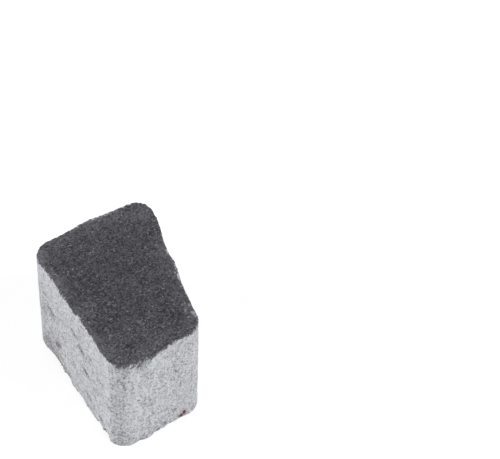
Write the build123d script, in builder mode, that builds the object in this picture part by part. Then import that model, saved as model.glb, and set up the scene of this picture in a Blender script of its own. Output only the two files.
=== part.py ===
from build123d import *
import math
import os

# A tapered concrete paving block, cast in one piece between the gently wavy walls of
# its mould. Millimetres and degrees. +Z is up, the front and rear sides run along X,
# and the origin is at the middle of the flat underside.

# Plan of the block, between its corners as they would be if they were sharp
rear_width = 86.5
front_width = 63.5
depth = 113.0
left_lean = 3.0

# Thickness of the block, and the soft edges round its top and its underside
thickness = 80.0
top_edge_radius = 1.0
foot_edge_radius = 0.8

# Rounded corners, seen from above
front_left_radius = 11.5
front_right_radius = 13.0
rear_right_radius = 11.5
rear_left_radius = 14.5

# Waves of the sides, going round anticlockwise: how far each crest or hollow stands out
# from the straight line between the corners, and at what share of the side it lies
front_rises = [2.1, -1.0]
front_shares = [0.38, 0.65]
right_rises = [-1.2, 0.4, -1.5, 1.2]
right_shares = [0.30, 0.47, 0.62, 0.79]
rear_rises = [0.3, 2.0, -0.7]
rear_shares = [0.31, 0.53, 0.71]
left_rises = [-1.0, -0.3, -1.0]
left_shares = [0.33, 0.49, 0.73]

# Share of a wave's shorter flank that its curve takes up on each side of the crest
wave_softness = 0.4


def wave_crests(start, end, rises, shares):
    """The crests and hollows of one side, on their way from its start to its end."""
    along = end - start
    outwards = Vector(along.Y, -along.X).normalized()
    return [start + along * share + outwards * rise for rise, share in zip(rises, shares)]


def wave_radius(before, crest, after):
    """The radius that rounds a crest as softly as its shorter flank allows."""
    flanks = (crest - before, after - crest)
    turn = math.radians(flanks[0].get_angle(flanks[1]))
    reach = wave_softness * min(flank.length for flank in flanks)
    return reach / math.tan(turn / 2)


# The corners, anticlockwise from the front left one, which is drawn at zero
lean_offset = depth * math.tan(math.radians(left_lean))
front_left = Vector(0, 0)
front_right = Vector(front_width, 0)
rear_right = Vector(lean_offset + rear_width, depth)
rear_left = Vector(lean_offset, depth)

sides = [
    (front_left, front_left_radius, front_right, front_rises, front_shares),
    (front_right, front_right_radius, rear_right, right_rises, right_shares),
    (rear_right, rear_right_radius, rear_left, rear_rises, rear_shares),
    (rear_left, rear_left_radius, front_left, left_rises, left_shares),
]

# Every point of the outline and the radius that rounds it there
points = []
radii = []
for corner, corner_radius, next_corner, rises, shares in sides:
    crests = wave_crests(corner, next_corner, rises, shares)
    stops = [corner, *crests, next_corner]
    points += [corner, *crests]
    radii.append(corner_radius)
    radii += [wave_radius(*stops[i : i + 3]) for i in range(len(crests))]

with BuildSketch() as outline:
    with BuildLine():
        FilletPolyline(*points, radius=radii, close=True)
    make_face()

# The block stands on the outline, moved so that its middle is the origin
middle = outline.sketch.bounding_box().center()

with BuildPart() as paving_block:
    with BuildSketch(Plane((-middle.X, -middle.Y, 0))):
        add(outline.sketch)
    extrude(amount=thickness)
    top_face = paving_block.faces().sort_by(Axis.Z)[-1]
    fillet(top_face.edges(), top_edge_radius)
    underside = paving_block.faces().sort_by(Axis.Z)[0]
    fillet(underside.edges(), foot_edge_radius)
paving_block.part.label = "paving_block"

os.makedirs("parts", exist_ok=True)
export_step(paving_block.part, "parts/paving_block.step")
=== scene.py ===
import math

import bmesh
import bpy
from mathutils import Matrix, Vector


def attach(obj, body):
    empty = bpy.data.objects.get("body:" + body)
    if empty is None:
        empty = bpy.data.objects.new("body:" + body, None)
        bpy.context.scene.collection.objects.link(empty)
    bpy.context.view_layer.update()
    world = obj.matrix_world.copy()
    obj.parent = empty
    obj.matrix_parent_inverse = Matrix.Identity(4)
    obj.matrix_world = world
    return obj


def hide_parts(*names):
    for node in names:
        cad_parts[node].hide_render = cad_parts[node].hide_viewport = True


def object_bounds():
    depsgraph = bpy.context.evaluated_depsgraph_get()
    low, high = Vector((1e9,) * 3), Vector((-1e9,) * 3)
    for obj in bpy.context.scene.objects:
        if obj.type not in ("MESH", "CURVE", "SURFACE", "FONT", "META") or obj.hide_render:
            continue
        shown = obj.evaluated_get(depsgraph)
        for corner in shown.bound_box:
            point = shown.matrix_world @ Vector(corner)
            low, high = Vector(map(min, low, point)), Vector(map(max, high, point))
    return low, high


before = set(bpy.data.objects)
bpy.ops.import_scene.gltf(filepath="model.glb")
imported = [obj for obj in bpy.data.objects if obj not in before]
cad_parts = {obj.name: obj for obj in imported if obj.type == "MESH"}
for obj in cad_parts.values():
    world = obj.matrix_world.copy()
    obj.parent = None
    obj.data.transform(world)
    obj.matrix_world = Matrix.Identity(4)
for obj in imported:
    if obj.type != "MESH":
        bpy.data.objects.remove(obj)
solid_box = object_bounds()

# Lengths in this script are millimetres, and one of them is this long in the scene
MM = 0.001

# The block's own height, and half of it, where its walls are upright
block_height = round(solid_box[1][2] / MM, 3)
wall_middle = block_height / 2

# Size of the squares that the surface of the casting is meshed with
mesh_grid = 0.72

# Corners of the solid's triangles that are closer than this are one point
same_point = 0.0001

# Relief of the casting, measured from the smooth solid
relief_sizes = {
    "Sand height": 0.18,
    "Pit depth": 0.60,
    "Drag mark depth": 0.30,
    "Swell height": 0.45,
    "Lump height": 0.50,
    "Tear depth": 0.5,
    "Rim wear": 0.7,
    "Foot wear": 0.35,
}
relief_seed = 7

# How far one step of the seed moves the random relief across and along the block
seed_step = (13.7, 5.3, 0.0)

# Tears on the walls, where the lifting mould pulled the skin open: the middle of each, half its
# length along the block, half its height, and how deep it goes
tears = {
    "left wall, rear": ((-40.2, 29.0, 46.0), 4.6, 0.9, 1.0),
    "left wall, low rear": ((-40.5, 21.8, 22.2), 4.0, 1.0, 1.0),
    "left wall, rearmost": ((-40.0, 36.8, 56.0), 2.0, 0.7, 0.8),
    "left wall, high middle": ((-42.2, -3.6, 58.9), 4.2, 0.7, 0.9),
    "left wall, upper": ((-42.5, -12.4, 51.3), 5.2, 0.8, 0.9),
    "left wall, above the middle": ((-42.8, -23.9, 55.0), 1.7, 0.7, 0.9),
    "left wall, middle": ((-42.6, -17.2, 34.7), 3.1, 1.1, 1.2),
    "left wall, behind the middle": ((-42.0, -0.8, 26.6), 1.7, 0.7, 0.9),
    "left wall, front": ((-43.7, -36.8, 46.8), 2.4, 0.8, 0.9),
    "left wall, low": ((-42.6, -18.2, 13.8), 3.4, 1.0, 0.9),
    "left wall, low front": ((-43.6, -35.3, 8.8), 2.2, 0.9, 0.9),
    "left wall, by the corner": ((-44.5, -46.5, 33.6), 1.0, 1.7, 0.8),
    "front wall, upper right": ((2.8, -55.8, 61.0), 0.9, 0.8, 0.7),
    "front wall, right": ((-1.1, -55.7, 48.8), 0.6, 1.1, 0.7),
    "front wall, low right": ((-2.5, -55.8, 11.5), 1.0, 1.2, 1.0),
    "front wall, foot": ((-10.1, -56.5, 4.3), 0.7, 1.2, 0.7),
    "front wall, middle": ((-18.6, -57.9, 41.0), 0.4, 0.9, 0.5),
    "front wall, left": ((-29.8, -57.8, 42.1), 0.4, 0.9, 0.5),
    "front wall, low left": ((-33.9, -57.5, 13.6), 0.5, 1.2, 0.5),
    "front wall, above the fleck": ((-3.3, -55.8, 26.7), 0.5, 1.0, 0.5),
    "left wall, rear foot": ((-40.3, 24.3, 18.6), 2.6, 1.3, 0.8),
    "left wall, rear middle": ((-39.9, 39.9, 37.3), 2.4, 1.4, 0.6),
}

# How much further a tear reaches across the block than along it, on either side
tear_extra_width = 1

# Chips broken off the foot: the middle of each, its half sizes, and how deep it goes
chips = {
    "left foot by the corner": ((-44.6, -42.5, 1.0), (3.2, 4.2, 3.6), 1.7),
    "front foot": ((-16.0, -58.5, 1.5), (4.0, 3, 2.6), 0.9),
    "front foot, left": ((-28.5, -59.5, 1.0), (3.0, 3, 2.2), 0.7),
    "left foot, step": ((-41.6, 9.5, 1.0), (3, 4.5, 4.0), 0.9),
    "left foot, middle": ((-41.5, -8.0, 0.5), (3, 6.0, 3.0), 0.9),
    "left foot, rear": ((-40.0, 27.0, 0.5), (3, 11.0, 4.5), 1.0),
    "left foot, front": ((-43.0, -34.0, 0.5), (3, 4.5, 3.0), 0.9),
}

# Colours of the concrete, as light reflected: the pale mix and the dark wearing face
pale_colour = (0.478, 0.483, 0.508)
dark_colour = (0.060, 0.059, 0.067)

# The darkest and the palest that each mix gets, as shares of its own colour
pale_limits = (0.38, 1.42)
dark_limits = (0.34, 5.5)

# How much paler each thing makes the pale mix (or darker, if less than 0)
pale_tones = {
    "fine sand": 1.9,
    "crumbs": 0.25,
    "grains": 0.80,
    "dabs": 0.30,
    "dabs, more on the left wall": 0.95,
    "hair lines": 0.85,
    "mottle": 0.10,
    "streaks": 0.45,
    "pores": -0.34,
    "pinholes": -0.60,
    # painted shade in the torn places and the hollows of the relief
    "painted shade in torn places and hollows": -0.50,
    "shade round the tears": -0.17,
    # darker towards the foot of the walls
    "darker near the foot": -0.05,
    "darker near the foot, more on the left wall": -0.12,
    "all of it": 0.18,
}

# The same for the dark mix
dark_tones = {
    "fine sand": 1.75,
    "grains": 1.65,
    "pale grains": 1.1,
    "coarse sand": 0.6,
    "mottle": 0.7,
    "dust": 0.26,
    # painted shade in the torn places and the hollows of the relief
    "painted shade in torn places and hollows": -0.35,
    "all of it": -0.06,
}

# Paler and darker marks: the middle of each, its half sizes, and how much paler it is (or
# darker, if less than 0)
marks = {
    "shade down the front left corner": ((-41.0, -53.5, 40), (5.0, 5.5, 300), -0.115),
    "pale streak left of the corner": ((-44.6, -46.0, 40), (5, 2.2, 300), 0.10),
    "pale streak right of the corner": ((-30.6, -58.5, 45), (2.3, 6, 300), 0.15),
    "shade in the middle of the front wall": ((-19.5, -58.5, 45), (6.5, 6, 300), -0.04),
    "pale streak on the right of the front wall": ((-6.0, -57.0, 45), (1.6, 5, 300), 0.06),
    "specks under the corner rim": ((-39.5, -56.5, 75.5), (6, 4, 3.5), -0.20),
    "specks under the front rim": ((-26.5, -58.5, 73.0), (4.5, 4, 5.0), -0.18),
    "bloom under the front rim": ((-18.5, -58.5, 69.5), (3.0, 4, 3.5), 0.16),
    # darker at the rear of the left foot
    "darker rear of the left foot": ((-40.5, 30.0, 5.0), (4, 19, 11), -0.26),
    # painted shade round the two rear tears of the left wall
    "painted shade by the rear tear": ((-40.2, 29.5, 44.5), (4, 8.0, 3.8), -0.26),
    "painted shade by the low rear tear": ((-40.5, 23.0, 21.0), (4, 5.5, 3.4), -0.15),
    # darker above the rear of the left foot
    "darker above the rear foot": ((-40.2, 33.0, 9.0), (4, 9.0, 5.0), -0.10),
    "shade at the rear of the left wall": ((-40.0, 41.0, 42), (6, 16, 32), -0.07),
    # darker along the front foot
    "darker along the front foot": ((-16.0, -57.5, 0.0), (26, 5, 16), -0.08),
    # darker along the left foot
    "darker along the left foot": ((-43.0, 0.0, 0.0), (5, 50, 4.5), -0.14),
    "pale under the left rim": ((-42.0, 0.0, 74.0), (5, 52, 12), 0.05),
    # darker at the front of the left foot
    "darker front left foot": ((-38.0, -57.0, 3.0), (9, 8, 9), -0.08),
    "shade on the right of the front wall": ((-3.0, -57.0, 46.0), (20, 5, 36), -0.05),
    "worn left rim, rear": ((-38.6, 30.0, 80.0), (3.4, 19, 2.6), 0.55),
    "worn left rim, front": ((-41.8, -22.0, 80.0), (2.6, 20, 2.2), 0.35),
    "worn rear left corner": ((-36.0, 46.0, 80), (5, 7, 4), 0.50),
    "dust by the front right corner": ((18.0, -42.0, 81), (3.4, 8, 4), 0.45),
    "dusty front of the face": ((-18.0, -43.0, 82), (32, 17, 5), 0.12),
    "dusty rear of the face": ((4.0, 49.0, 82), (46, 14, 5), 0.25),
    "dark left of the face": ((-31.0, 32.0, 82), (12, 24, 5), -0.10),
    "dusty rear edge": ((12.0, 57.0, 82), (30, 2.4, 2.8), 0.85),
    "dusty right edge": ((30.0, -8.0, 80), (7, 26, 3), 0.22),
}

# Pits and pale specks of the dark face: the middle of each, its half width, and how much paler
# it is (or darker, if less than 0)
face_specks = {
    "pit in the middle": ((11.8, 10.1), 1.1, -0.6),
    "pit by the right side": ((32.2, 26.5), 1.2, -0.6),
    "pit on the left": ((-19.1, 9.1), 1.2, -0.55),
    "pit beside it": ((-19.1, 4.2), 0.9, -0.5),
    "pit at the rear left": ((-16.5, 34.1), 0.9, -0.5),
    "speck at the rear left": ((-29.3, 24.4), 0.6, 1.6),
    "speck beside it": ((-24.7, 26.3), 0.5, 1.2),
    "speck by the left rim": ((-34.4, -2.4), 0.7, 1.6),
    "speck on the left": ((-24.2, -3.1), 0.6, 1.3),
    "speck near the front": ((-25.8, -21.1), 0.7, 1.8),
    "speck at the rear": ((22.7, 18.3), 0.6, 1.2),
    "scuff in the middle": ((4.3, 16.9), 1.6, 0.5),
    "chip by the right rim": ((18.9, -43.4), 1.1, 4.0),
    "chip before it": ((19.1, -46.3), 0.9, 3.6),
    "chip behind it": ((16.1, -39.2), 0.9, 3.4),
    "chip beside it": ((14.4, -44.7), 0.6, 2.4),
    "chip on the right rim": ((20.2, -36.8), 0.8, 2.6),
}

# Places where the rim of the dark face is frayed: the middle of each, its half sizes, how far
# the dark reaches down the wall there (or back, if less than 0), and how much more ragged it is
fringes = {
    "under the front rim": ((-26.5, -58.5, 75.0), (6.5, 4, 8.0), 3.2, 24.0),
    "under the corner rim": ((-39.5, -56.0, 77.0), (6.0, 4, 5.0), 1.0, 10.0),
    "right half of the front rim": ((-10.0, -57.0, 79.0), (11.0, 5, 6.0), 2.0, 10.0),
    "front rim by the right corner": ((9.0, -55.0, 79.0), (8.0, 5, 6.0), 0.8, 9.0),
    "right rim by the front": ((19.6, -40.0, 80.0), (5.0, 10, 4), 0.8, 18.0),
    "front right corner": ((14.5, -49.5, 80.0), (6, 5, 4), -0.2, 10.0),
    "left rim, rear": ((-39.5, 32.5, 80.0), (3.0, 6, 4), -0.6, 9.0),
    "left rim, middle": ((-41.5, -11.5, 80.0), (2.5, 5, 4), -0.6, 9.0),
    "left rim, behind the middle": ((-40.5, 12.0, 80.0), (2.5, 7, 4), 0.3, 9.0),
    "left rim, front": ((-43.0, -35.0, 80.0), (2.5, 9, 4), 0.2, 8.0),
    "rear left corner": ((-38.0, 47.0, 79.5), (6, 8, 4), 1.2, 9.0),
    "rear rim": ((12.0, 57.5, 80.0), (30, 3.5, 4), -0.9, 15.0),
    "right rim, middle": ((29.5, -15.0, 80.0), (6, 18, 3), -0.9, 14.0),
    "right rim, rear": ((35.5, 13.0, 80.0), (4, 10, 3), -0.6, 11.0),
}

# Stains: the middle of each, its half sizes, its tint of what is under it and how strong it is
stains = {
    "rust fleck": ((4.8, -56.5, 5.0), (1.1, 3, 2.0), (0.22, 0.11, 0.115), 0.95),
    "rust fleck at the foot": ((2.9, -56.5, 2.6), (1.3, 3, 1.5), (0.22, 0.12, 0.125), 0.95),
    "rust tinge": ((4.0, -56.5, 4.5), (3.2, 4, 4.0), (0.86, 0.72, 0.72), 0.8),
    "brown tinge of the left foot": ((-40.5, 28.0, 8.0), (4, 20, 14), (1.0, 0.980, 0.963), 1.0),
    "green bloom": ((-22.5, -58.5, 71.5), (8.5, 4, 5.5), (0.972, 1.022, 0.99), 1.0),
}

# Matt concrete with little gloss, and the height of the sand that is too fine for the mesh
concrete_roughness = 0.92
concrete_gloss = 0.25
bump_height = 0.6

# Light: the strength of the even light from all round, and the soft lamps, each with the
# direction it stands in, its strength, and how wide it looks in degrees
round_light = 0.36
lamps = {
    "left lamp": ((-0.735, 0.26, 0.62), 0.62, 28),
    "right lamp": ((0.461, -0.629, 0.62), 0.66, 28),
}

# The floor: half its width, how pale it is to the light that falls on the block, and how it
# shows to the camera, as a darker grey with a glow of its own
floor_half = 6000.0
floor_grey = 0.8
shown_floor_grey = 0.34
shown_floor_glow = 0.73

# The camera's place, the way it looks, what is to the right and downwards in its picture, and
# its lens and sensor
camera_place = (-385.47, -657.37, 936.56)
camera_look = (0.40162, 0.55522, -0.72831)
camera_right = (0.82906, -0.55827, 0.03159)
camera_down = (-0.38905, -0.6165, -0.68452)
camera_lens = 133.53
camera_sensor = 36


class Wiring:
    """Short ways to add nodes to one tree and to join them up."""

    def __init__(self, tree):
        self.tree = tree

    def node(self, kind, inputs=None, **settings):
        made = self.tree.nodes.new(kind)
        for name, value in settings.items():
            setattr(made, name, value)
        for name, value in (inputs or {}).items():
            self.feed(made.inputs[name], value)
        return made

    def feed(self, socket, value):
        if isinstance(value, bpy.types.NodeSocket):
            self.tree.links.new(value, socket)
        else:
            socket.default_value = value

    def math(self, operation, a, b=0.0):
        return self.node("ShaderNodeMath", {0: a, 1: b}, operation=operation).outputs[0]

    def add(self, *terms):
        total = terms[0]
        for term in terms[1:]:
            total = self.math("ADD", total, term)
        return total

    def times(self, *factors):
        product = factors[0]
        for factor in factors[1:]:
            product = self.math("MULTIPLY", product, factor)
        return product

    def less(self, a, b):
        return self.math("SUBTRACT", a, b)

    def larger(self, a, b):
        return self.math("MAXIMUM", a, b)

    def smaller(self, a, b):
        return self.math("MINIMUM", a, b)

    def about_zero(self, cloud, strength):
        """A cloud about 0.5 moved to lie about 0, times the strength."""
        return self.times(self.less(cloud, 0.5), strength)

    def ramp(self, value, low, high):
        """0 where the value is low and 1 where it is high, going smoothly from one to the other."""
        inputs = {"Value": value, "From Min": low, "From Max": high}
        return self.node("ShaderNodeMapRange", inputs, interpolation_type="SMOOTHSTEP").outputs[0]

    def vector_math(self, operation, a, b):
        return self.node("ShaderNodeVectorMath", {0: a, 1: b}, operation=operation).outputs[0]

    def scaled(self, vector, factors):
        """The vector with each of its axes times its own factor."""
        return self.vector_math("MULTIPLY", vector, factors)

    def moved(self, vector, offset):
        return self.vector_math("ADD", vector, offset)

    def resized(self, vector, factor):
        """The vector with all of its axes times one factor."""
        inputs = {0: vector, "Scale": factor}
        return self.node("ShaderNodeVectorMath", inputs, operation="SCALE").outputs[0]

    def axes(self, vector):
        return self.node("ShaderNodeSeparateXYZ", {0: vector}).outputs

    def joined(self, x, y, z=0.0):
        return self.node("ShaderNodeCombineXYZ", {0: x, 1: y, 2: z}).outputs[0]

    def noise(self, vector, grain, detail=2.0, roughness=0.5):
        """Cloudy noise about 0.5, whose largest lumps are about one grain across."""
        inputs = {"Vector": vector, "Scale": 1 / grain, "Detail": detail, "Roughness": roughness}
        return self.node("ShaderNodeTexNoise", inputs).outputs["Fac"]

    def cells(self, vector, spacing):
        """Points strewn a spacing apart: the distance to the nearest, and its own random number."""
        made = self.node("ShaderNodeTexVoronoi", {"Vector": vector, "Scale": 1 / spacing})
        number = self.axes(made.outputs["Color"])[0]
        return self.times(made.outputs["Distance"], spacing), number

    def shaken(self, vector, reach, grain):
        """The place moved about by up to the reach, so that what is drawn there isn't regular."""
        cloud = self.node("ShaderNodeTexNoise", {"Vector": vector, "Scale": 1 / grain, "Detail": 2.0})
        centred = self.moved(cloud.outputs["Color"], (-0.5, -0.5, -0.5))
        return self.moved(vector, self.scaled(centred, (2 * reach, 2 * reach, 2 * reach)))

    def strewn_spots(self, vector, spacing, radius, share):
        """Round spots of about the radius, on that share of the strewn points: 1 in their middle."""
        distance, number = self.cells(vector, spacing)
        spot = self.ramp(distance, low=radius, high=0.35 * radius)
        return self.times(spot, self.math("LESS_THAN", number, share))

    def patch(self, vector, place, half_sizes, wobble, soft=0.5):
        """A ragged patch about a place: 1 well within the half sizes, and fading out round them."""
        shifted = self.moved(vector, tuple(-value for value in place))
        share = self.scaled(shifted, tuple(1 / value for value in half_sizes))
        reach = self.node("ShaderNodeVectorMath", {0: share}, operation="LENGTH").outputs["Value"]
        return self.ramp(self.add(reach, wobble), low=1 + soft, high=1 - soft)

    def attribute(self, name):
        return self.node("ShaderNodeAttribute", attribute_name=name).outputs["Fac"]

    def mixed(self, share, a, b):
        """Colour a, with that share of it replaced by colour b."""
        made = self.node("ShaderNodeMix", data_type="RGBA")
        self.feed(made.inputs[0], share)
        self.feed(made.inputs[6], a)
        self.feed(made.inputs[7], b)
        return made.outputs[2]

    def toned(self, colour, tone, limits):
        """The colour made darker or paler by the tone, between two limits."""
        darkest, palest = limits
        factor = self.smaller(self.larger(self.add(tone, 1.0), darkest), palest)
        return self.resized(colour, factor)


def blank_wiring(owner):
    """Wiring for the node tree of a material or a world, with nothing in it yet."""
    owner.use_nodes = True
    owner.node_tree.nodes.clear()
    return Wiring(owner.node_tree)


def tear_half_sizes(half_length, half_height):
    return (half_length + tear_extra_width, half_length, half_height)


class Relief:
    """The relief of a pressed casting, as fields of one geometry tree that give heights."""

    def __init__(self, w, given):
        self.w = w
        self.given = given
        self.metres = w.node("GeometryNodeInputPosition").outputs[0]
        self.place = w.scaled(self.metres, (1 / MM, 1 / MM, 1 / MM))
        seed = w.joined(given["Seed"], given["Seed"])
        self.strewn = w.moved(self.place, w.scaled(seed, seed_step))
        self.across, self.along, self.height = w.axes(self.place)

        # How far in from the wall a point is, seen from above, and how far down from the top
        level = w.scaled(w.joined(self.across, self.along, wall_middle), (MM, MM, MM))
        nearest = w.node(
            "GeometryNodeProximity",
            {0: given["Geometry"], "Source Position": level},
            target_element="FACES",
        )
        self.inset = w.times(nearest.outputs["Distance"], 1 / MM)
        self.below_rim = w.less(block_height, self.height)
        self.on_wall = w.ramp(self.inset, low=1.2, high=0.1)

        # Tears go up and down a little on their way along the wall
        wavering = w.about_zero(w.noise(self.place, grain=5.0), 5.0)
        self.wavered = w.joined(self.across, self.along, w.add(self.height, wavering))

        # Both edges crumble, more in some places than in others
        crumbs = w.noise(self.strewn, grain=2.6, detail=3.0, roughness=0.7)
        self.crumble = w.ramp(crumbs, low=0.34, high=0.74)

    def swing(self, cloud, size_name):
        """A cloud about 0.5 made a height that goes up and down by the named size."""
        return self.w.times(self.w.less(cloud, 0.5), self.given[size_name], 2.0)

    def sand(self):
        """Small lumps all over."""
        cloud = self.w.noise(self.strewn, grain=1.5, detail=2.0, roughness=0.7)
        return self.swing(cloud, "Sand height")

    def swells(self):
        """The slow unevenness of a pressed face."""
        cloud = self.w.noise(self.strewn, grain=13.0, detail=3.0, roughness=0.6)
        return self.swing(cloud, "Swell height")

    def lumps(self):
        """What the coarse grains under the skin show of themselves, most of it on the left wall."""
        w = self.w
        drawn = w.scaled(self.strewn, (1.0, 0.5, 1.0))
        lumps = self.swing(w.noise(drawn, grain=3.4, detail=2.0, roughness=0.6), "Lump height")
        on_left = w.ramp(self.across, low=-37.0, high=-41.5)
        wall_share = w.add(w.times(self.on_wall, w.add(w.times(on_left, 0.7), 0.1)), 0.2)
        return w.times(lumps, wall_share)

    def drag_marks(self):
        """Upright grooves left on the walls as the mould was lifted."""
        drawn = self.w.scaled(self.strewn, (1.0, 1.0, 0.11))
        cloud = self.w.noise(drawn, grain=2.3, detail=3.0, roughness=0.6)
        return self.w.times(self.swing(cloud, "Drag mark depth"), self.on_wall)

    def air_holes(self):
        """Pits of two sizes."""
        w = self.w
        large = w.strewn_spots(self.strewn, spacing=5.5, radius=0.85, share=0.20)
        small = w.strewn_spots(self.strewn, spacing=2.6, radius=0.65, share=0.25)
        return w.times(w.larger(large, w.times(small, 0.55)), self.given["Pit depth"], -1.0)

    def strewn_tears(self):
        """Level cracks of two sizes, strewn over the walls."""
        w = self.w
        level_lines = w.scaled(self.wavered, (1.0, 1.0, 3.2))
        breaks = w.ramp(w.noise(self.place, grain=1.6), low=0.36, high=0.60)
        large = w.times(w.strewn_spots(level_lines, spacing=9.0, radius=2.6, share=0.22), breaks)
        small = w.times(w.strewn_spots(level_lines, spacing=4.4, radius=1.7, share=0.30), 0.6)
        return w.times(w.larger(large, small), self.on_wall, self.given["Tear depth"], -1.0)

    def edge_distance(self, level_distance):
        """How far a point is from the edge that lies that far above or below it."""
        w = self.w
        inset_squared = w.times(self.inset, self.inset)
        level_squared = w.times(level_distance, level_distance)
        return w.math("SQRT", w.add(inset_squared, level_squared))

    def rim_wear(self):
        near_rim = self.w.ramp(self.edge_distance(self.below_rim), low=3.0, high=0.3)
        return self.w.times(near_rim, self.crumble, self.given["Rim wear"], -1.0)

    def foot_wear(self):
        w = self.w
        near_foot = w.ramp(self.edge_distance(self.height), low=5.0, high=0.4)
        slow_crumbs = w.noise(self.strewn, grain=7.0, detail=3.0, roughness=0.6)
        slow_crumble = w.ramp(slow_crumbs, low=0.50, high=0.72)
        crumble = w.add(w.times(self.crumble, 0.3), slow_crumble)
        return w.times(near_foot, crumble, self.given["Foot wear"], -1.0)

    def own_tears_and_chips(self):
        """Tears and chips at their own places, with ragged borders."""
        w = self.w
        torn_edge = w.about_zero(w.noise(self.strewn, grain=1.5, detail=3.0, roughness=0.8), 4.5)
        chipped_edge = w.about_zero(w.noise(self.strewn, grain=1.8, detail=2.0, roughness=0.6), 1.8)
        bitten = 0.0
        for middle, half_length, half_height, tear_depth in tears.values():
            half_sizes = tear_half_sizes(half_length, half_height)
            torn = w.patch(self.wavered, middle, half_sizes, torn_edge, soft=0.35)
            bitten = w.smaller(bitten, w.times(torn, -tear_depth))
        for middle, half_sizes, chip_depth in chips.values():
            chipped = w.patch(self.place, middle, half_sizes, chipped_edge, soft=0.25)
            bitten = w.smaller(bitten, w.times(chipped, -chip_depth))
        return bitten


def relief_sockets(tree):
    """The inputs of the relief tree by their names. Its geometry goes in and out beside them."""
    sockets = {}
    tree.interface.new_socket("Geometry", in_out="INPUT", socket_type="NodeSocketGeometry")
    for name in relief_sizes:
        sockets[name] = tree.interface.new_socket(name, in_out="INPUT", socket_type="NodeSocketFloat")
    sockets["Seed"] = tree.interface.new_socket("Seed", in_out="INPUT", socket_type="NodeSocketInt")
    for name in ("Lowest corner", "Highest corner"):
        sockets[name] = tree.interface.new_socket(name, in_out="INPUT", socket_type="NodeSocketVector")
    tree.interface.new_socket("Geometry", in_out="OUTPUT", socket_type="NodeSocketGeometry")
    return sockets


def relief_tree(finish):
    """Geometry nodes that give the smooth solid the rough, torn and worn skin of a casting."""
    tree = bpy.data.node_groups.new("Concrete relief", "GeometryNodeTree")
    sockets = relief_sockets(tree)
    w = Wiring(tree)
    given = w.node("NodeGroupInput").outputs
    relief = Relief(w, given)
    air_holes = relief.air_holes()
    strewn_tears = relief.strewn_tears()
    bitten = relief.own_tears_and_chips()
    rise = w.add(
        relief.sand(),
        relief.swells(),
        relief.lumps(),
        relief.drag_marks(),
        air_holes,
        strewn_tears,
        relief.rim_wear(),
        relief.foot_wear(),
        bitten,
    )

    # Each point moves straight out of the surface or into it, and stays within the solid's box
    outwards = w.node("GeometryNodeInputNormal").outputs[0]
    moved = w.moved(relief.metres, w.resized(outwards, w.times(rise, MM)))
    above_lowest = w.vector_math("MAXIMUM", moved, given["Lowest corner"])
    within_box = w.vector_math("MINIMUM", above_lowest, given["Highest corner"])

    # What the finish needs to know of the surface is kept on it, as it was before the move
    kept_fields = {
        "wall_inset": relief.inset,
        "face_reach": w.less(relief.inset, relief.below_rim),
        "hollow": w.times(w.add(air_holes, strewn_tears, bitten), -1.0),
    }
    kept = given["Geometry"]
    for name, field in kept_fields.items():
        kept = w.node(
            "GeometryNodeStoreNamedAttribute",
            {"Geometry": kept, "Name": name, "Value": field},
            data_type="FLOAT",
            domain="POINT",
        ).outputs[0]
    raised = w.node("GeometryNodeSetPosition", {"Geometry": kept, "Position": within_box}).outputs[0]
    smooth = w.node("GeometryNodeSetShadeSmooth", {"Geometry": raised, "Shade Smooth": True}).outputs[0]
    real = w.node("GeometryNodeRealizeInstances", {0: smooth}).outputs[0]
    painted = w.node("GeometryNodeSetMaterial", {"Geometry": real, "Material": finish}).outputs[0]
    w.node("NodeGroupOutput", {0: painted})
    return tree, sockets


def cast_block(node, finish):
    """The casting: the node's own solid in an even fine mesh, with the relief of pressed concrete."""
    mesh = node.data.copy()
    mesh.materials.clear()
    joined = bmesh.new()
    joined.from_mesh(mesh)
    bmesh.ops.remove_doubles(joined, verts=joined.verts, dist=same_point * MM)
    joined.to_mesh(mesh)
    joined.free()
    smooth_solid = bpy.data.objects.new("smooth_solid", mesh)
    bpy.context.scene.collection.objects.link(smooth_solid)
    remesh = smooth_solid.modifiers.new("Even squares", "REMESH")
    remesh.mode = "VOXEL"
    remesh.voxel_size = mesh_grid * MM
    relief = smooth_solid.modifiers.new("Relief", "NODES")
    relief.node_group, sockets = relief_tree(finish)
    box = {"Lowest corner": tuple(solid_box[0]), "Highest corner": tuple(solid_box[1])}
    for name, value in {**relief_sizes, "Seed": relief_seed, **box}.items():
        relief[sockets[name].identifier] = value
    finished = plain_mesh(smooth_solid)
    bpy.data.objects.remove(smooth_solid)
    block = bpy.data.objects.new("cast_block", finished)
    bpy.context.scene.collection.objects.link(block)
    return block


def plain_mesh(piece):
    """The piece's mesh with its modifiers worked in."""
    bpy.context.view_layer.update()
    depsgraph = bpy.context.evaluated_depsgraph_get()
    return bpy.data.meshes.new_from_object(piece.evaluated_get(depsgraph), depsgraph=depsgraph)


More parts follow.
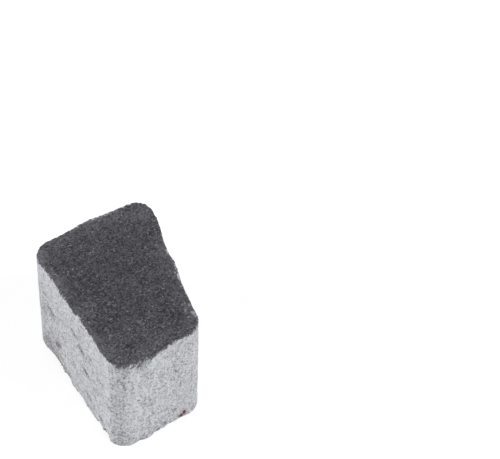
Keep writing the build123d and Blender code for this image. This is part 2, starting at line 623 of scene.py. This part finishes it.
class Concrete:
    """The two mixes of the concrete and what they share, as values of one shader tree."""

    def __init__(self, w):
        self.w = w
        metres = w.node("ShaderNodeTexCoord").outputs["Object"]
        self.place = w.scaled(metres, (1 / MM, 1 / MM, 1 / MM))
        across, _, self.height = w.axes(self.place)
        self.on_left = w.ramp(across, low=-38.0, high=-41.5)

        # What the relief kept on the surface
        self.inset = w.attribute("wall_inset")
        self.face_reach = w.attribute("face_reach")
        self.hollow = w.attribute("hollow")

        # Sand that both mixes share: each grain has a tone of its own
        self.shaken = w.shaken(self.place, reach=0.7, grain=1.1)
        _, self.grain_number = w.cells(self.shaken, spacing=0.85)
        self.fine = w.noise(self.place, grain=1.1, detail=4.0, roughness=0.78)
        self.coarse = w.noise(self.place, grain=3.6, detail=2.0, roughness=0.6)
        self.mottle = w.noise(self.place, grain=16.0, detail=3.0, roughness=0.55)

        # Crumbs of sand, and the pores between them
        crumb_place = w.scaled(self.shaken, (1.0, 1.0, 0.62))
        self.crumbs = w.noise(crumb_place, grain=1.5, detail=4.0, roughness=0.72)
        cavity = w.add(self.crumbs, w.about_zero(self.coarse, 0.10), w.about_zero(self.mottle, 0.05))
        self.pores = w.ramp(cavity, low=0.42, high=0.32)

        # The ragged borders of the marks and of the torn places
        self.border = w.about_zero(w.noise(self.place, grain=2.4, detail=3.0, roughness=0.6), 1.8)
        self.torn_edge = w.about_zero(w.noise(self.place, grain=1.3, detail=3.0, roughness=0.8), 4.4)
        self.marked = self.own_marks()
        self.torn = self.painted_shade_in_hollows()

    def own_marks(self):
        """Paler and darker marks at their own places."""
        marked = 0.0
        for middle, half_sizes, paler in marks.values():
            patch = self.w.patch(self.place, middle, half_sizes, self.border)
            marked = self.w.add(marked, self.w.times(patch, paler))
        return marked

    def painted_shade_in_hollows(self):
        """1 in the hollows of the relief and in the tears, where the mixes are darkened as painted
        shade.
        """
        w = self.w
        torn = w.ramp(w.add(self.hollow, w.about_zero(self.fine, 1.2)), low=0.25, high=0.85)
        for middle, half_length, half_height, _ in tears.values():
            half_sizes = tear_half_sizes(half_length, half_height)
            torn = w.larger(torn, w.patch(self.place, middle, half_sizes, self.torn_edge, soft=0.3))
        return torn

    def shade_round_tears(self):
        """1 in and close round each tear, most of all above and below it."""
        shade = 0.0
        for middle, half_length, half_height, _ in tears.values():
            half_sizes = (half_length + 2, half_length + 1.2, 2.4 * half_height + 0.6)
            patch = self.w.patch(self.place, middle, half_sizes, self.border, soft=0.6)
            shade = self.w.larger(shade, patch)
        return shade

    def dabs(self):
        """Dabs of sand, level on the left wall and upright elsewhere."""
        w = self.w
        level = w.noise(w.scaled(self.place, (1.0, 0.36, 1.0)), grain=2.2, detail=3.0, roughness=0.7)
        upright = w.noise(w.scaled(self.place, (1.0, 1.0, 0.40)), grain=1.9, detail=3.0, roughness=0.7)
        return w.add(w.times(level, self.on_left), w.times(upright, w.less(1.0, self.on_left)))

    def wall_tone(self, name):
        """How much paler the named thing makes the pale mix, with the more on the left wall."""
        more = self.w.times(self.on_left, pale_tones[name + ", more on the left wall"])
        return self.w.add(more, pale_tones[name])

    def pale_mix(self):
        """Pale sand with pores and pinholes, dabs, hair lines and streaks, painted shade in the hollows
        and round the tears, and darker towards the foot.
        """
        w = self.w
        streaks = w.noise(w.scaled(self.place, (1.0, 1.0, 0.08)), grain=3.2, detail=3.0, roughness=0.6)
        hairs = w.noise(w.scaled(self.place, (1.0, 1.0, 0.13)), grain=1.2, detail=2.0, roughness=0.6)
        pinholes = w.strewn_spots(self.shaken, spacing=2.6, radius=0.85, share=0.38)
        # Darker towards the foot of the walls
        darker_near_foot = w.ramp(w.add(self.height, w.about_zero(self.coarse, 14.0)), low=7.0, high=0.0)
        tone = w.add(
            w.about_zero(self.fine, pale_tones["fine sand"]),
            w.about_zero(self.crumbs, pale_tones["crumbs"]),
            w.about_zero(self.grain_number, pale_tones["grains"]),
            w.about_zero(self.dabs(), self.wall_tone("dabs")),
            w.about_zero(hairs, pale_tones["hair lines"]),
            w.about_zero(self.mottle, pale_tones["mottle"]),
            w.about_zero(streaks, pale_tones["streaks"]),
            w.times(self.pores, pale_tones["pores"]),
            w.times(pinholes, pale_tones["pinholes"]),
            # painted shade in the hollows and the tears
            w.times(self.torn, pale_tones["painted shade in torn places and hollows"]),
            w.times(self.shade_round_tears(), self.on_left, pale_tones["shade round the tears"]),
            w.times(darker_near_foot, self.wall_tone("darker near the foot")),
            self.marked,
            pale_tones["all of it"],
        )
        return w.toned(pale_colour, tone, pale_limits)

    def own_specks(self):
        """Pits and pale specks of the dark face at their own places."""
        specked = 0.0
        for (across, along), half_width, paler in face_specks.values():
            middle = (across, along, block_height)
            half_sizes = (half_width, half_width, half_width)
            patch = self.w.patch(self.place, middle, half_sizes, self.torn_edge, soft=0.4)
            specked = self.w.add(specked, self.w.times(patch, paler))
        return specked

    def dark_mix(self):
        """Dark sand with a few pale grains, painted shade in the hollows, and dustier towards the rim.
        """
        w = self.w
        pale_grains = w.ramp(self.grain_number, low=0.965, high=0.975)
        dust = w.ramp(w.add(self.inset, w.about_zero(self.mottle, -24.0)), low=17.0, high=0.0)
        tone = w.add(
            w.about_zero(self.fine, dark_tones["fine sand"]),
            w.about_zero(self.grain_number, dark_tones["grains"]),
            w.times(pale_grains, dark_tones["pale grains"]),
            w.about_zero(self.coarse, dark_tones["coarse sand"]),
            w.about_zero(self.mottle, dark_tones["mottle"]),
            w.times(dust, dark_tones["dust"]),
            # painted shade in the hollows and the tears
            w.times(self.torn, dark_tones["painted shade in torn places and hollows"]),
            self.own_specks(),
            self.marked,
            dark_tones["all of it"],
        )
        return w.toned(dark_colour, tone, dark_limits)

    def wearing_share(self):
        """1 on the dark wearing face, which ends at a ragged line round the rim."""
        w = self.w
        upright = w.scaled(self.place, (1.0, 1.0, 0.3))
        ragged = w.add(
            w.about_zero(w.noise(upright, grain=1.4, detail=3.0, roughness=0.75), 8.0),
            w.about_zero(w.noise(self.place, grain=7.0), 4.0),
            w.about_zero(self.grain_number, 0.8),
        )
        specked = w.add(
            w.about_zero(w.noise(self.shaken, grain=1.1, detail=3.0, roughness=0.8), 1.0),
            w.about_zero(self.grain_number, 0.2),
        )
        reach = w.add(self.face_reach, ragged)
        for middle, half_sizes, shift, more_ragged in fringes.values():
            frayed = w.patch(self.place, middle, half_sizes, self.border)
            reach = w.add(reach, w.times(frayed, w.add(w.times(specked, more_ragged), shift)))
        return w.ramp(reach, low=-1.3, high=-0.5)

    def stained(self, colour):
        """The colour with the stains on it."""
        w = self.w
        for middle, half_sizes, stain_colour, strength in stains.values():
            share = w.times(w.patch(self.place, middle, half_sizes, self.border, soft=0.3), strength)
            tint = w.mixed(share, (1, 1, 1, 1), (*stain_colour, 1))
            colour = w.scaled(colour, tint)
        return colour

    def bumps(self):
        """The sand that is too fine for the mesh, with its pores."""
        grains = self.w.times(self.grain_number, 0.25)
        return self.w.add(self.fine, grains, self.w.times(self.pores, -0.4))


def concrete_finish():
    """Pale cast concrete with a dark wearing face, rough and matt."""
    finish = bpy.data.materials.new("cast concrete")
    w = blank_wiring(finish)
    concrete = Concrete(w)
    colour = w.mixed(concrete.wearing_share(), concrete.pale_mix(), concrete.dark_mix())
    bump = w.node(
        "ShaderNodeBump",
        {"Height": concrete.bumps(), "Strength": 1.0, "Distance": bump_height * MM},
    )
    surface = w.node(
        "ShaderNodeBsdfPrincipled",
        {
            "Base Color": concrete.stained(colour),
            "Roughness": concrete_roughness,
            "Specular IOR Level": concrete_gloss,
            "Normal": bump.outputs[0],
        },
    )
    w.node("ShaderNodeOutputMaterial", {"Surface": surface.outputs[0]})
    return finish


def grey(level):
    return (level, level, level, 1)


def flat_floor():
    """A pale floor that the camera sees as white, but for the block's soft shadow."""
    half = floor_half * MM
    corners = [(-half, -half, 0), (half, -half, 0), (half, half, 0), (-half, half, 0)]
    mesh = bpy.data.meshes.new("floor")
    mesh.from_pydata(corners, [], [(0, 1, 2, 3)])
    floor = bpy.data.objects.new("floor", mesh)
    bpy.context.scene.collection.objects.link(floor)
    finish = bpy.data.materials.new("white floor")
    w = blank_wiring(finish)
    matt = w.node("ShaderNodeBsdfDiffuse", {"Color": grey(floor_grey)}).outputs[0]
    glow = w.node("ShaderNodeEmission", {"Color": grey(1), "Strength": shown_floor_glow}).outputs[0]
    shown_matt = w.node("ShaderNodeBsdfDiffuse", {"Color": grey(shown_floor_grey)}).outputs[0]
    shown = w.node("ShaderNodeAddShader", {0: shown_matt, 1: glow}).outputs[0]
    mix = w.node("ShaderNodeMixShader", {0: seen_directly(w), 1: matt, 2: shown}).outputs[0]
    w.node("ShaderNodeOutputMaterial", {"Surface": mix})
    mesh.materials.append(finish)
    return floor


def seen_directly(w):
    """1 for what the camera sees by itself, in a mirror or through glass, 0 for light on the object."""
    rays = w.node("ShaderNodeLightPath").outputs
    seen_or_mirrored = w.larger(rays["Is Camera Ray"], rays["Is Glossy Ray"])
    return w.larger(seen_or_mirrored, rays["Is Transmission Ray"])


def studio_world():
    """Even light from all round, in front of a white backdrop."""
    world = bpy.data.worlds.new("studio")
    bpy.context.scene.world = world
    w = blank_wiring(world)
    light = w.node("ShaderNodeBackground", {"Color": grey(1), "Strength": round_light}).outputs[0]
    backdrop = w.node("ShaderNodeBackground", {"Color": grey(1), "Strength": 1.0}).outputs[0]
    mix = w.node("ShaderNodeMixShader", {0: seen_directly(w), 1: light, 2: backdrop}).outputs[0]
    w.node("ShaderNodeOutputWorld", {"Surface": mix})


def soft_lamp(name, direction, strength, spread):
    """A wide soft lamp, far off. At a strength of 1 a white face turned to it shows as white."""
    lamp = bpy.data.lights.new(name, "SUN")
    lamp.energy = strength * math.pi
    lamp.angle = math.radians(spread)
    stand = bpy.data.objects.new(name, lamp)
    stand.location = Vector(direction)
    stand.rotation_euler = Vector(direction).to_track_quat("Z", "Y").to_euler()
    bpy.context.scene.collection.objects.link(stand)


def photo_camera():
    """The camera where the photograph was taken from, with its framing."""
    lens = bpy.data.cameras.new("camera")
    lens.lens = camera_lens
    lens.sensor_width = camera_sensor
    camera = bpy.data.objects.new("camera", lens)
    turn = Matrix((Vector(camera_right), -Vector(camera_down), -Vector(camera_look))).transposed()
    place = Matrix.Translation(tuple(value * MM for value in camera_place))
    camera.matrix_world = place @ turn.to_4x4()
    bpy.context.scene.collection.objects.link(camera)
    bpy.context.scene.camera = camera


finish = concrete_finish()
block = cast_block(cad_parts["paving_block"], finish)
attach(block, "root")
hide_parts("paving_block")

floor = flat_floor()
studio_world()
for name, (direction, strength, spread) in lamps.items():
    soft_lamp(name, direction, strength, spread)
photo_camera()
bpy.context.scene.view_settings.view_transform = "Standard"
